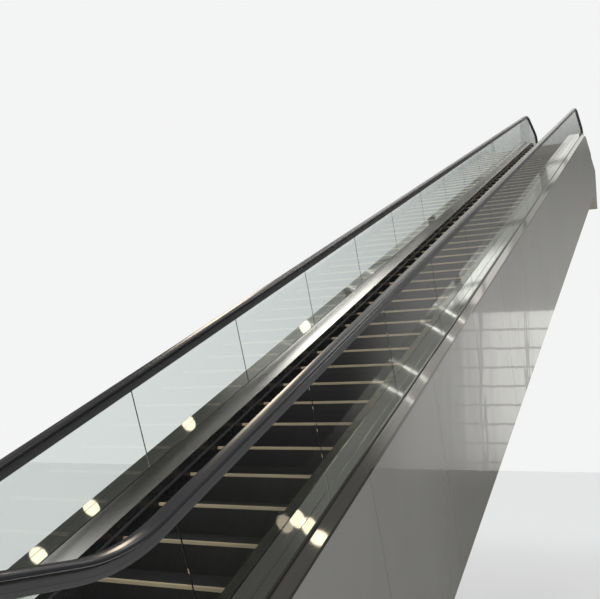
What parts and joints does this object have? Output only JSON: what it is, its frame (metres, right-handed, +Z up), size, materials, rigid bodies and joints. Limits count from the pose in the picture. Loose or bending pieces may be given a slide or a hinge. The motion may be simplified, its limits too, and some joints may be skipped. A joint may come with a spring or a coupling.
{
  "type": "escalator",
  "caption": "Escalator between two floors, with frameless glass balustrades, a closed side-clad truss and comb landings at both ends.",
  "frame": {"origin": "middle of the underside of the lower support angle, where the truss rests on the lower floor's edge", "axes": "+X along the travel from the lower landing towards the upper one, +Y to the left of someone riding up, +Z up"},
  "size_m": [24.7396, 1.698, 11.73],
  "materials": {
    "truss": "matte",
    "track": "matte",
    "support": "matte",
    "floor_plate": "satin",
    "comb": "satin",
    "step": "satin",
    "edging": "matte",
    "skirt": "satin",
    "brush": "matte",
    "deck": "brushed",
    "shoe": "matte",
    "glass": "polished",
    "guide": "satin",
    "belt": "semi-gloss",
    "cladding": "high gloss",
    "soffit": "satin",
    "light": "opal",
    "newel_cap": "satin",
    "end_panel": "matte"
  },
  "bodies": {
    "root": {"truss_lower": "truss", "truss_incline": "truss", "truss_upper": "truss", "track_left": "track", "track_right": "track", "lower_support": "support", "upper_support": "support", "lower_floor_plate": "floor_plate", "upper_floor_plate": "floor_plate", "lower_comb": "comb", "upper_comb": "comb", "steps_lower": "step", "steps_second": "step", "steps_middle": "step", "steps_fourth": "step", "steps_upper": "step", "step_edging": "edging", "skirt_left": "skirt", "skirt_right": "skirt", "skirt_brush_left": "brush", "skirt_brush_right": "brush", "inner_deck_left": "deck", "inner_deck_right": "deck", "outer_deck_left": "deck", "outer_deck_right": "deck", "glass_shoe_left": "shoe", "glass_shoe_right": "shoe", "glass_left": "glass", "glass_right": "glass", "handrail_guide_left": "guide", "handrail_guide_right": "guide", "handrail_left": "belt", "handrail_right": "belt", "cladding_cap_left": "deck", "cladding_cap_right": "deck", "cladding_left": "cladding", "cladding_right": "cladding", "soffit_panels": "soffit", "downlights": "light", "newel_caps_lower": "newel_cap", "newel_caps_upper": "newel_cap", "lower_end_panel": "end_panel", "upper_end_panel": "end_panel"}
  },
  "joints": []
}
